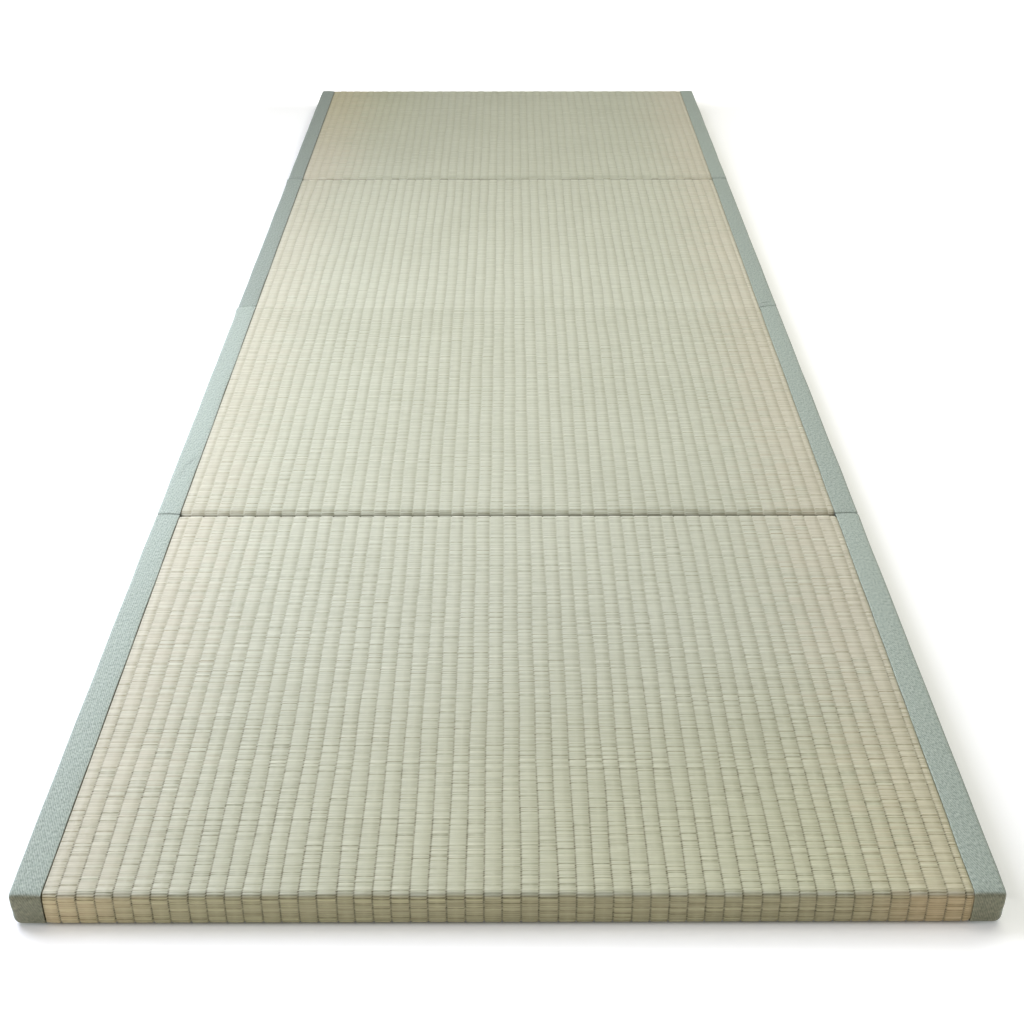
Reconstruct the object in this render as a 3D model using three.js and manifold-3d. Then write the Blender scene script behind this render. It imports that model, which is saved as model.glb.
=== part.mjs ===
// A folding tatami mat: rush-faced panels laid end to end, bound with cloth along both long edges.
// Units are millimetres. +Z is up, +Y runs along the mat, and the origin is under the mat's middle.
import * as THREE from "three";
import { RoundedBoxGeometry } from "three/addons/geometries/RoundedBoxGeometry.js";
import { mergeVertices } from "three/addons/utils/BufferGeometryUtils.js";
import Module from "manifold-3d";

// Driving dimensions
const MAT_LENGTH = 2100;
const MAT_WIDTH = 700;
const MAT_THICKNESS = 30;
const PANEL_COUNT = 4;
const FOLD_GAP = 0.4; // between the ends of two panels
const RUSH_TOP = 29.2; // the rush lies a little lower than the binding
const RUSH_TOP_RADIUS = 8; // where the rush turns down at a panel's end
const RUSH_BOTTOM_RADIUS = 6;
const HINGE_DEPTH = 4; // rush and padding left whole above the middle fold
const BINDING_WIDTH = 23;
const BINDING_THICKNESS = 1.2;
const BINDING_RADIUS = 4; // where the cloth turns over an edge
const CLEARANCE = 0.3; // between the cloth and the panel edge inside it
const SEAT_OVERLAP = 0.5; // how far a panel edge runs into its own panel
const CORNER_STEPS = 2; // facets in half a rounded corner of the cloth
const ARC_STEPS = 6; // facets in a rounded end of the rush

// Colours and finish
const RUSH = new THREE.MeshStandardMaterial({ color: 0xc9c9b2, roughness: 0.62, metalness: 0 });
const CLOTH = new THREE.MeshStandardMaterial({ color: 0xb0c1b9, roughness: 0.85, metalness: 0 });

// Each pad is one rush-covered piece. The middle one spans two panels under unbroken rush.
const PADS = [
  { name: "panel_near", first: 0, last: 0 },
  { name: "panel_middle", first: 1, last: 2 },
  { name: "panel_far", first: 3, last: 3 },
];
const SIDES = [
  { name: "left", turn: 0 },
  { name: "right", turn: Math.PI },
];

// Sizes that follow from them
const panelLength = (MAT_LENGTH - (PANEL_COUNT - 1) * FOLD_GAP) / PANEL_COUNT;
const panelPitch = panelLength + FOLD_GAP;
const rushHalfWidth = MAT_WIDTH / 2 - BINDING_WIDTH - CLEARANCE;
const edgeInset = BINDING_THICKNESS + CLEARANCE;

const wasm = await Module();
wasm.setup();

function panelStart(index) {
  return -MAT_LENGTH / 2 + index * panelPitch;
}

function panelMiddle(index) {
  return panelStart(index) + panelLength / 2;
}

// A closed geometry as a solid for joining and cutting.
function solidOf(geometry) {
  const bare = geometry.clone();
  bare.deleteAttribute("normal");
  bare.deleteAttribute("uv");
  const merged = mergeVertices(bare, 1e-4);
  return new wasm.Manifold(
    new wasm.Mesh({
      numProp: 3,
      vertProperties: merged.attributes.position.array,
      triVerts: new Uint32Array(merged.index.array),
    }),
  );
}

function geometryOf(solid) {
  const mesh = solid.getMesh();
  const geometry = new THREE.BufferGeometry();
  geometry.setAttribute("position", new THREE.BufferAttribute(mesh.vertProperties, 3));
  geometry.setIndex(new THREE.BufferAttribute(mesh.triVerts, 1));
  geometry.computeVertexNormals();
  return geometry;
}

function boxBetween(low, high) {
  const size = new THREE.Vector3().subVectors(high, low);
  const middle = new THREE.Vector3().addVectors(low, high).multiplyScalar(0.5);
  return solidOf(new THREE.BoxGeometry(...size).translate(...middle));
}

// One panel's outer form, drawn in on every side by inset, with its own middle at y = 0.
function panelForm(inset) {
  const form = new RoundedBoxGeometry(
    MAT_WIDTH - 2 * inset,
    panelLength - 2 * inset,
    MAT_THICKNESS - 2 * inset,
    CORNER_STEPS,
    BINDING_RADIUS - inset,
  );
  return solidOf(form.translate(0, 0, MAT_THICKNESS / 2));
}

// The strip of a panel between two distances from the mat's centre line, on the left.
function leftStrip(form, farX, nearX) {
  const strip = boxBetween(
    new THREE.Vector3(-farX, -panelLength, -MAT_THICKNESS),
    new THREE.Vector3(-nearX, panelLength, 2 * MAT_THICKNESS),
  );
  return form.intersect(strip);
}

// The section of a pad along the mat: y to the right, z up, slit from below at each inner fold.
function padSection({ start, end, slits }) {
  const top = RUSH_TOP - RUSH_TOP_RADIUS;
  const section = new THREE.Shape();
  section.moveTo(start + RUSH_BOTTOM_RADIUS, 0);
  for (const slit of slits) {
    section.lineTo(slit - FOLD_GAP / 2, 0);
    section.lineTo(slit - FOLD_GAP / 2, RUSH_TOP - HINGE_DEPTH);
    section.lineTo(slit + FOLD_GAP / 2, RUSH_TOP - HINGE_DEPTH);
    section.lineTo(slit + FOLD_GAP / 2, 0);
  }
  section.lineTo(end - RUSH_BOTTOM_RADIUS, 0);
  section.absarc(end - RUSH_BOTTOM_RADIUS, RUSH_BOTTOM_RADIUS, RUSH_BOTTOM_RADIUS, -Math.PI / 2, 0);
  section.lineTo(end, top);
  section.absarc(end - RUSH_TOP_RADIUS, top, RUSH_TOP_RADIUS, 0, Math.PI / 2);
  section.lineTo(start + RUSH_TOP_RADIUS, RUSH_TOP);
  section.absarc(start + RUSH_TOP_RADIUS, top, RUSH_TOP_RADIUS, Math.PI / 2, Math.PI);
  section.lineTo(start, RUSH_BOTTOM_RADIUS);
  section.absarc(
    start + RUSH_BOTTOM_RADIUS,
    RUSH_BOTTOM_RADIUS,
    RUSH_BOTTOM_RADIUS,
    Math.PI,
    1.5 * Math.PI,
  );
  return section;
}

// The rush-covered body of a pad, between the two bindings.
function padBody(section) {
  const geometry = new THREE.ExtrudeGeometry(section, {
    depth: 2 * rushHalfWidth,
    bevelEnabled: false,
    curveSegments: ARC_STEPS,
  });
  geometry.translate(0, 0, -rushHalfWidth);
  const sectionToMat = new THREE.Matrix4().makeBasis(
    new THREE.Vector3(0, 1, 0),
    new THREE.Vector3(0, 0, 1),
    new THREE.Vector3(1, 0, 0),
  );
  return solidOf(geometry.applyMatrix4(sectionToMat));
}

// The thinner edge of one panel that the binding wraps, on both sides.
function panelEdges(index) {
  const left = leftStrip(panelForm(edgeInset), MAT_WIDTH / 2, rushHalfWidth - SEAT_OVERLAP);
  const right = left.rotate([0, 0, 180]);
  return left.add(right).translate([0, panelMiddle(index), 0]);
}

function makePad({ name, first, last }) {
  const slits = [];
  for (let index = first + 1; index <= last; index++) {
    slits.push(panelStart(index) - FOLD_GAP / 2);
  }
  const section = padSection({
    start: panelStart(first),
    end: panelStart(last) + panelLength,
    slits,
  });
  let pad = padBody(section);
  for (let index = first; index <= last; index++) {
    pad = pad.add(panelEdges(index));
  }
  const mesh = new THREE.Mesh(geometryOf(pad), RUSH);
  mesh.name = name;
  return mesh;
}

// The cloth that caps one long edge of a panel: over the top, down the side and ends, and under.
const bindingGeometry = geometryOf(
  leftStrip(
    panelForm(0).subtract(panelForm(BINDING_THICKNESS)),
    MAT_WIDTH,
    MAT_WIDTH / 2 - BINDING_WIDTH,
  ),
);

function makeBinding(side, index) {
  const mesh = new THREE.Mesh(bindingGeometry, CLOTH);
  mesh.name = `binding_${side.name}_${index + 1}`;
  mesh.position.y = panelMiddle(index);
  mesh.rotation.z = side.turn;
  return mesh;
}

const mat = new THREE.Group();
mat.name = "folding_tatami_mat";
for (const pad of PADS) {
  mat.add(makePad(pad));
}
for (const side of SIDES) {
  for (let index = 0; index < PANEL_COUNT; index++) {
    mat.add(makeBinding(side, index));
  }
}

export default mat;
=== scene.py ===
"""A folding tatami mat, laid open: woven rush panels bound with twill cloth along both long edges."""
import math

import bpy
import numpy as np
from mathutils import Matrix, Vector


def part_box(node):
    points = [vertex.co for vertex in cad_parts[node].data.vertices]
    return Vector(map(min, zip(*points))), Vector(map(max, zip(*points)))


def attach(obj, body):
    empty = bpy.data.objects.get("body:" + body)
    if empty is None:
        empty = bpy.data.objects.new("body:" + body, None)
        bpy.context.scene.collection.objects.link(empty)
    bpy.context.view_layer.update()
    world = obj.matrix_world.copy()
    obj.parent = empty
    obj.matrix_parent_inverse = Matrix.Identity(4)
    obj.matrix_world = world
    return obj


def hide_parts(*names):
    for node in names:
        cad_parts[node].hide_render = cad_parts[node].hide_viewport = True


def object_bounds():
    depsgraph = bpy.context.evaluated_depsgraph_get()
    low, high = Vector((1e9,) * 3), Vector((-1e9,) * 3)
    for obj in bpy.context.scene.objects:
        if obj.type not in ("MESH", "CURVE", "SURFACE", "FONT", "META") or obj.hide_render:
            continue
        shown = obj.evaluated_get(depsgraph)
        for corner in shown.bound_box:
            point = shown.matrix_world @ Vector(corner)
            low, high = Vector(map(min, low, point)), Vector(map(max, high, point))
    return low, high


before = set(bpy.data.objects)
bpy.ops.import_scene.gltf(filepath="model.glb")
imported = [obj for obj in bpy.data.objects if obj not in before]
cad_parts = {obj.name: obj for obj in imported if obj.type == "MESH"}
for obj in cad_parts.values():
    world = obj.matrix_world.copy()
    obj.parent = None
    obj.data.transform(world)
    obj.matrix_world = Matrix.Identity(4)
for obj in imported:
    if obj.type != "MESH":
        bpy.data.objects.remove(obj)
CAD_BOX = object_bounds()

# Shared sizes. Shapes are worked out in millimetres and built in metres.
MM = 0.001
HALF_WIDTH = CAD_BOX[1].x / MM
HALF_LENGTH = CAD_BOX[1].y / MM
THICKNESS = CAD_BOX[1].z / MM
RUSH_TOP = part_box("panel_near")[1].z / MM
SEED = 41

# Each rush piece covers a stretch of a CAD node. Its ends are turned down or run on over the middle fold.
# Stems and valleys say how clearly those show, valleys (painted shade) from the near end to the far one.
# Tone is painted light on the piece's top, painted shade below zero. Shares are how many stems take two,
# three and four rows. Straw is how far the left and right edges have turned. Fold is where a fold's painted
# shadow line starts and is full as the rush turns down.
RUSH_PIECES = [
    {
        "name": "rush_1", "node": "panel_near", "part": (0.0, 1.0), "ends": ("outer", "fold"),
        "stems": 1.0, "tone": 0.035, "shares": (0.82, 0.14, 0.04), "valleys": (1.25, 0.2),
        "straw": (0.85, 1.25), "fold": (0.25, 0.55),
    },
    {
        "name": "rush_2", "node": "panel_middle", "part": (0.0, 0.5), "ends": ("fold", "hinge"),
        "stems": 0.95, "tone": -0.015, "shares": (0.45, 0.35, 0.2), "valleys": (0.25, 0.36),
        "straw": (0.65, 1.1), "fold": (0.25, 0.55),
    },
    {
        "name": "rush_3", "node": "panel_middle", "part": (0.5, 1.0), "ends": ("hinge", "fold"),
        "stems": 0.7, "tone": 0.025, "shares": (0.25, 0.4, 0.35), "valleys": (0.48, 0.45),
        "straw": (0.65, 1.0), "fold": (0.25, 0.55),
    },
    {
        "name": "rush_4", "node": "panel_far", "part": (0.0, 1.0), "ends": ("fold", "outer"),
        "stems": 0.6, "tone": 0.0, "shares": (0.15, 0.4, 0.45), "valleys": (0.33, 0.3),
        "straw": (1.35, 1.05), "fold": (0.1, 0.42),
    },
]

# Section of a panel along the mat
END_TOP_RADIUS = {"outer": 6.0, "fold": 8.0}
END_BOTTOM_RADIUS = 6.0
HINGE_GAP = 0.2
HINGE_BOTTOM_RADIUS = 2.0
HINGE_TOP_WALL = 1.0
ARC_POINTS = 32
WOVEN_FROM = {"outer": 1.5, "fold": 15.0}
COARSE_ROWS = 6
UNDERSIDE_ROWS = 10
UNDERSIDE_NORMAL = -0.7
UNDERSIDE_TURNED = 0.3

# How far the rush under the bindings is drawn back from the middle fold
HINGE_HOLD = 9.0
HINGE_HOLD_REACH = 40.0

# Ribs of the weave: place within a rib, drop below its crown and kind
RIB_PITCH = 13.0
FIRST_RIB = -316.0
RIB_COUNT = 49
RIB_SECTION = [(0.0, 0.8, "valley"), (1.1, 0.0, "stem"), (11.9, 0.0, "stem")]
END_RIB_GAIN = {"outer": 0.3, "fold": -0.6, "hinge": 0.0}
END_GAIN_RISE = 1.5
RIB_WANDER = 0.35
RIB_WANDER_LENGTHS = (130.0, 420.0)
RIB_WANDER_FADE = (300.0, 322.0)
WANDER_STATIONS = 441
WANDER_WAVES = 4
CORNER_BULGE = {"outer": 0.35, "fold": 0.25, "hinge": 0.0}
VALLEY_RAGGED = 0.12
# Painted shade in the valleys: its base share, and how much more at the stems' gaps
VALLEY_KNOTS = (0.6, 0.8)

# Edge of the weave under a binding, from the outside in: distance from the middle, drop and kind
GROOVE_X = 326.8
EDGE_TONGUE = [(HALF_WIDTH - 3.6, 1.9, "tongue"), (327.9, 1.9, "tongue")]
RUSH_EDGE = {
    "left": EDGE_TONGUE + [(GROOVE_X, 1.7, "groove"), (325.9, 0.3, "stem")],
    "right": EDGE_TONGUE + [(326.6, 1.0, "groove"), (325.7, 0.3, "stem")],
}
# Painted shadow in the groove beside a binding, on the left side only
GROOVE_SHADOW = {"left": 2.0, "right": 0.0}
STRAW_REACH = 62.0
STRAW_RAGGED = 16.0
STRAW_TURNED_EVEN = 0.8

# Stems of the weave. Each takes a few rows along the mat, the first of them down in the gap before it.
ROW_STEP = 0.93
ROW_SPREAD = 0.25
ROW_LIMITS = (0.6, 1.5)
STEM_ROWS = (2, 3, 4)
STEM_HEIGHT = 0.09
STEM_JITTER = 0.16
STEM_KINSHIP = 0.6
JITTER_KINSHIP = 0.3
STEM_TONE = 0.05
STEM_TURNED_GAIN = 0.5
TONE_WINDOW = 5
GAP_DROP = 0.1
GAP_SPREAD = 0.5
GAP_LIMIT = 2.2
GAP_TONE = 0.4
GAP_FADE = 0.5
LEVEL_ROWS = 9
LEVEL_SHARE = 0.8
# A ridge over the middle fold at every second rib, with a painted highlight on it
HINGE_RIDGE = 0.2
HINGE_RIDGE_REACH = 2.5
HINGE_RIDGE_HIGHLIGHT = 0.06

# Painted highlight and painted shade at the folds. The rim's painted highlight rises and falls by the
# outline's lean, the painted shade goes by tone and reach.
FOLD_RIM_HIGHLIGHT = 0.45
FOLD_RIM_RISE = (0.02, 0.3)
FOLD_RIM_FALL = (0.5, 0.75)
FOLD_SHADE = {"rush_2": (0.2, 13.0), "rush_4": (0.14, 22.0)}
FOLD_SHADE_FLAT = 0.2
FOLD_SHADE_RAGGED = 5.0
FOLD_SHADE_LEFT = 0.5
FOLD_SHADE_LEFT_REACH = (30.0, 130.0)
# Painted shadow line in a fold, weaker at some ribs: its share there, and the lag below which a rib is one of
# them
FOLD_DASH = {"rush_4": 0.45}
FOLD_DASH_LAG = 0.45
FOLD_VALLEY_END = 0.15

# Painted highlight and painted shade where the rush turns down at the mat's ends, by how far it has turned
TURN_START = 0.001
TURN_LAG = 0.14
TURN_FULL = 0.5
TURN_RIM_HIGHLIGHT = 0.04
TURN_RIM_PLACE = 0.03
TURN_RIM_REACH = 0.05
TOP_END = 0.25
END_SIDE_SHADE = 0.12
END_SIDE_FULL = 0.3

# Slow changes over the mat: painted light at the near end, painted shade at the far left, and yellower colour
# at two corners
NEAR_PAINTED_LIGHT = 0.08
NEAR_TONE_START = 850.0
FAR_LEFT_PAINTED_SHADE = 0.11
FAR_LEFT_ALONG = (400.0, 950.0)
FAR_LEFT_START = 100.0
FAR_LEFT_SPAN = 450.0
NEAR_YELLOW_REACH = 350.0
NEAR_YELLOW_LEFT = 0.15
FAR_YELLOW_REACH = 500.0
FAR_YELLOW_SLOPE = 3

# Cloth binding
BINDING_THICKNESS = 1.2
BINDING_OUTER_RADIUS = 2.8
BINDING_END_RADIUS = {"outer": 4.8, "fold": 2.6}
BINDING_END_BLEND = 30.0
MAT_END_MARGIN = 1.0
BINDING_BOTTOM_RADIUS = 6.5
BINDING_SEEDS = {"left": 7, "right": 11}
LIP_BEVEL = 0.4
LIP_DROP = {"left": 0.3, "right": 0.0}
CLOTH_CROWN = {"left": 1.0, "right": 0.5}
OUTER_CROWN = 0.5
CLOTH_SINK = 0.15
CLOTH_SWELL = 0.12
CLOTH_WAVES = (60.0, 240.0)
LIP_REACH = 4.0
EDGE_WANDER = 0.12

# Lines of a binding's mesh, close together at its turns, its lip and its pleats
BINDING_ROW = 7.0
BINDING_RISE = 5.0
PLEAT_ROW = 1.5
PLEAT_MARGIN = 3
PLEAT_CLEAR = 2.0
GRADED_SHARES = (0.0, 0.06, 0.15, 0.3, 0.55, 1.0)
TURN_PLACES = (0.0, 0.5, 1.1, 2.0, 3.2, 4.8, BINDING_BOTTOM_RADIUS)
LIP_SHARES = (1.0, 0.7, 0.45, 0.25, 0.1, 0.0)
MIDDLE_START = 8.5
MIDDLE_MARGIN = 1.5
MIDDLE_COLUMNS = 6

# Painted light and shade on the bindings: a painted highlight on the right ones' lip, painted shade on their
# outer rim, at the seams in the folds and on the walls at the mat's ends
LIP_HIGHLIGHT = 0.2
LIP_HIGHLIGHT_REACH = 1.4
RIM_SHADE = 0.32
RIM_ACROSS = (0.3, 2.2)
RIM_DOWN = (3.5, 2.0)
FOLD_SEAM_SHADE = (0.25, 0.85)
END_WALL_SHADE = (0.4, 0.6 * BINDING_END_RADIUS["outer"])

# Slant of the twill over the cloth, and the width and length of its threads in metres
TWILL_SLANT = (0.927, 0.375)
TWILL_PERIODS = (0.0016, 0.003)

# Painted shade of single bindings beside the rest, where less light reaches them
BINDING_SHADE_TONES = {"left_3": 0.82, "left_4": 0.77, "right_2": 0.93, "right_3": 0.9, "right_4": 0.94}

# How much darker single bindings are at their near end, and how far in that reaches
SEAM_SHADE = {"right_4": (0.2, 9.0)}

# How single binding ends are drawn: shift along the mat at their outer and inner edge, and flare outwards
BINDING_ENDS = {
    "left_2": [{"end": "far", "outer": 0.0, "inner": 7.0, "flare": 1.2}],
    "left_3": [
        {"end": "near", "outer": 0.0, "inner": 7.0, "flare": 0.0},
        {"end": "far", "outer": 0.0, "inner": 0.0, "flare": 1.2},
    ],
    "right_2": [{"end": "far", "outer": 5.5, "inner": 1.0, "flare": 0.0}],
    "right_3": [{"end": "near", "outer": 5.5, "inner": 1.0, "flare": 0.0}],
}
BINDING_END_REACH = 30.0

# Taper of a pleat towards its ends, and the swell beside it as shares of its reach and depth
PLEAT_TAPER = (0.35, 2.6)
SWELL_REACH = 3
SWELL_DEPTH = 0.5

# Small pleats pressed into the cloth: ends as distance in from the outer edge and along from the near end
PLEATS = {
    "left_2": [
        {"ends": ((11.0, 96.0), (18.5, 118.0)), "depth": 0.55, "reach": 1.3},
        {"ends": ((8.0, 72.0), (12.0, 94.0)), "depth": 0.25, "reach": 2.2},
    ],
    "right_3": [{"ends": ((20.0, 10.5), (8.0, 13.0)), "depth": 0.7, "reach": 1.4}],
}

# Colours, as stops from dark to light
RUSH_GREEN = [(0.0, (0.275, 0.275, 0.19)), (0.5, (0.497, 0.507, 0.4)), (1.0, (0.66, 0.66, 0.55))]
RUSH_STRAW = [(0.0, (0.3, 0.275, 0.18)), (0.5, (0.54, 0.513, 0.405)), (1.0, (0.71, 0.685, 0.555))]
RUSH_YELLOW = (1.0, 0.985, 0.86)
# Darker, warmer painted shade of the rush where it turns down at the mat's ends
RUSH_END_SHADE = (0.415, 0.355, 0.228)
STRAW_END_SHADE = (0.58, 0.455, 0.3)
# Painted shade in the valleys between ribs
RUSH_VALLEY_SHADE = (0.12, 0.105, 0.055)
# Painted shadow down in the folds
CREASE_SHADE = (0.07, 0.06, 0.035)
TWILL = [(0.0, (0.204, 0.247, 0.212)), (0.5, (0.332, 0.387, 0.336)), (1.0, (0.47, 0.527, 0.468))]
# Painted shade of the bindings' walls at the mat's ends
TWILL_END_SHADE = (0.65, 0.56, 0.43)
# Painted shade in the bindings' folds and pleats
TWILL_CREASE_SHADE = (0.06, 0.075, 0.06)
FLOOR = [(0.3, (0.94, 0.94, 0.94)), (0.7, (0.96, 0.96, 0.96))]

# Fine marks of the materials: how often they repeat in a metre, and how much they change the tone
STREAK_SCALE = (20, 900, 900)
FIBRE_SCALE = (70, 3200, 3200)
PATCH_SCALE = 7.0
RUSH_MARKS = {"streak": 0.45, "fibre": 0.25, "patch": 0.12}
MOTTLE_SCALE = 420.0
SLUB_SCALE = (900, 60, 1)
TWILL_MARKS = {"weave": 0.66, "mottle": 0.4, "slub": 0.2}
THREAD_SWAY = 5.0
THREAD_RIB = 0.28
THREAD_DASH = 2.2
GRAIN_SCALE = 12.0

# Shares of the painted shade colours that are laid over the base
END_SHADE_SHARE = 0.75
VALLEY_SHADE_SHARE = 0.6
CREASE_SHADE_SHARE = 0.5
TWILL_CREASE_SHADE_SHARE = 0.65

# Relief of the materials, its distance in metres
RUSH_BUMP = {"Strength": 0.35, "Distance": 0.0003}
TWILL_BUMP = {"Strength": 0.55, "Distance": 0.0002}

# Stage, in metres and watts
FLOOR_HALF = 20.0
BACKDROP_HEIGHT = 20.0
FLOOR_DROP = 0.05
# The floor's own glow fades near the mat, so a shadow is painted round it
FLOOR_GLOW_SPAN = 1.2
FLOOR_GLOW = [(0.0, 0.0), (0.02, 0.16), (0.08, 0.19), (0.2, 0.35), (0.4, 0.6), (1.0, 0.9)]
END_GLOW_START = -0.003
END_GLOW_SPAN = 0.3
END_GLOW = [(0.0, 0.0), (0.012, 0.25), (0.03, 0.36), (0.07, 0.18), (0.2, 0.33), (0.4, 0.6), (1.0, 0.9)]
END_GLOW_FADE = 0.03
END_GLOW_SLOPE = 4.0
CAMERA_PLACE = (0.0006, -1.8238, 0.7962)
CAMERA_TURN = (59.48, 0.0, -0.162)
CAMERA_LENS = 53.16
SENSOR_WIDTH = 36.0
LIGHTS = [
    {
        "name": "key", "place": (-0.9, -0.35, 0.95), "aim": (-0.1, -0.3, 0.0),
        "size": 1.0, "watts": 18.0, "colour": (0.96, 0.99, 1.15),
    },
    {
        "name": "over", "place": (0.9, 0.3, 2.2), "aim": (0.2, 0.2, 0.0),
        "size": 2.2, "watts": 30.0, "colour": (1.03, 1.01, 0.86),
    },
]
SKY_HORIZON = 0.17
SKY_ZENITH = 0.4
SKY_TOP = 0.9


# Rush


def smoothstep(value, low, high):
    share = np.clip((value - low) / (high - low), 0.0, 1.0)
    return share * share * (3 - 2 * share)


def panel_span(piece):
    """The stretch of the mat, near end and far end, that a rush piece covers."""
    low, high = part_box(piece["node"])
    return [(low.y + share * (high.y - low.y)) / MM for share in piece["part"]]


def turned_end(y_end, inward, top_radius):
    """Section of an end where the rush turns down, from the underside up: y, z and the outward normal."""
    corners = (
        (END_BOTTOM_RADIUS, END_BOTTOM_RADIUS, -90, -180),
        (top_radius, RUSH_TOP - top_radius, 180, 90),
    )
    rows = []
    for radius, centre_z, first, last in corners:
        angle = np.radians(np.linspace(first, last, ARC_POINTS))
        y = y_end + inward * radius * (1 + np.cos(angle))
        z = centre_z + radius * np.sin(angle)
        rows.append(np.stack([y, z, inward * np.cos(angle), np.sin(angle)], axis=1))
    return np.concatenate(rows)


def hinge_end(y_end, inward):
    """Section of an end under the middle fold: a plain wall below rush that runs on."""
    wall = y_end + inward * HINGE_GAP
    rows = [
        (wall + inward * HINGE_BOTTOM_RADIUS, 0.0, 0.0, -1.0),
        (wall, HINGE_BOTTOM_RADIUS, -inward, 0.0),
        (wall, RUSH_TOP - HINGE_TOP_WALL, -inward, 0.0),
        (y_end, RUSH_TOP, 0.0, 1.0),
    ]
    return np.array(rows)


def end_section(kind, y_end, inward):
    if kind == "hinge":
        return hinge_end(y_end, inward)
    return turned_end(y_end, inward, END_TOP_RADIUS[kind])


class Section:
    """The closed outline of a panel along the mat: up the near end, along the top, down the far end, back."""

    def __init__(self, piece):
        self.ends = panel_span(piece)
        self.kinds = piece["ends"]
        near = end_section(self.kinds[0], self.ends[0], 1.0)
        far = end_section(self.kinds[1], self.ends[1], -1.0)[::-1]
        self.rows = np.concatenate([near, far, near[:1]])
        steps = np.hypot(*np.diff(self.rows[:, :2], axis=0).T)
        self.along = np.concatenate([[0.0], np.cumsum(steps)])
        self.length = self.along[-1]
        self.far_foot = self.along[-2]
        last = len(near) - 1
        self.woven_start = self.height_to_along(self.kinds[0], slice(0, last + 1))
        self.woven_end = self.height_to_along(self.kinds[1], slice(len(self.rows) - 2, last, -1))

    def height_to_along(self, kind, part):
        """Where the weave starts on an end: at a height, or at the top where the rush runs on."""
        height = RUSH_TOP if kind == "hinge" else WOVEN_FROM[kind]
        return float(np.interp(height, self.rows[part, 1], self.along[part]))

    def at(self, along):
        """y, z, normal y and normal z at distances along the outline."""
        wrapped = np.mod(along, self.length)
        return [np.interp(wrapped, self.along, column) for column in self.rows.T]

    def by_end(self, y, sizes):
        """The size that goes with the kind of the nearer end."""
        nearer_far = np.abs(y - self.ends[1]) < np.abs(y - self.ends[0])
        return np.where(nearer_far, sizes[self.kinds[1]], sizes[self.kinds[0]])


def wander(rng, along, count, size, shortest, longest):
    """Slow sideways wander of several lines along the mat, one row for each line."""
    total = np.zeros((count, len(along)))
    for _ in range(WANDER_WAVES):
        length = rng.uniform(shortest, longest, (count, 1))
        phase = rng.uniform(0, 2 * np.pi, (count, 1))
        total += np.sin(2 * np.pi * along / length + phase)
    return size * total / math.sqrt(WANDER_WAVES / 2)


def stem_noise(rng, rows, kinship):
    """Random values for each row and rib. A stem shows again at every second rib, so those are akin."""
    values = rng.normal(size=(rows, RIB_COUNT + 2))
    for rib in range(2, values.shape[1]):
        values[:, rib] = kinship * values[:, rib - 2] + math.sqrt(1 - kinship**2) * values[:, rib]
    return values


def stem_layout(rng, rows, shares):
    """For even and odd ribs, the stem that each row belongs to and whether the row is a gap."""
    is_gap = np.zeros((rows, 2), bool)
    for parity in range(2):
        starts = np.cumsum(rng.choice(STEM_ROWS, size=rows, p=shares))
        is_gap[starts[starts < rows], parity] = True
    return np.cumsum(is_gap, axis=0), is_gap


def running_mean(values, count):
    """The mean of each value and its neighbours along the mat, count of them in all."""
    window = np.ones(count) / count
    return np.apply_along_axis(np.convolve, 0, values, window, mode="same")


def stem_shades(rng, rows, rib, shares):
    """Tone of the stems and darkness of the gaps between them, by row and column."""
    stem, is_gap = (layer[:, rib % 2] for layer in stem_layout(rng, rows, shares))
    tone = stem_noise(rng, rows, STEM_KINSHIP)
    tone = (tone - running_mean(tone, TONE_WINDOW))[stem, rib]
    gap = np.exp(GAP_SPREAD * stem_noise(rng, rows, STEM_KINSHIP) - GAP_SPREAD**2 / 2)
    gap = np.clip(gap, 0.0, GAP_LIMIT)[stem, rib] * is_gap
    crowding = running_mean(gap, LEVEL_ROWS)
    tone = STEM_TONE * tone + LEVEL_SHARE * GAP_TONE * (crowding - crowding.mean())
    return tone, gap, is_gap


def rush_columns():
    """Columns across the mat, left to right: place, drop below the crown, rib number and kind."""
    valley, left_shoulder, right_shoulder = RIB_SECTION
    columns = [(-x, drop, 0, kind) for x, drop, kind in RUSH_EDGE["left"]]
    columns.append((FIRST_RIB + right_shoulder[0] - RIB_PITCH, 0.0, 0, "stem"))
    for rib in range(RIB_COUNT):
        start = FIRST_RIB + rib * RIB_PITCH
        columns += [(start + x, drop, rib + 1, kind) for x, drop, kind in RIB_SECTION]
    last = FIRST_RIB + RIB_COUNT * RIB_PITCH
    columns += [(last + x, drop, RIB_COUNT + 1, kind) for x, drop, kind in (valley, left_shoulder)]
    columns += [(x, drop, RIB_COUNT + 1, kind) for x, drop, kind in reversed(RUSH_EDGE["right"])]
    place, drop, rib, kind = zip(*columns)
    return np.array(place), np.array(drop), np.array(rib), np.array(kind)


def across_rib(place, rib, kind):
    """0 at a rib's left shoulder and 1 at its right one, halfway in the valleys."""
    share = (place - FIRST_RIB) / RIB_PITCH - (rib - 1)
    return np.where(kind == "stem", np.where(share > 0.5, 1.0, 0.0), 0.5)


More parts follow.
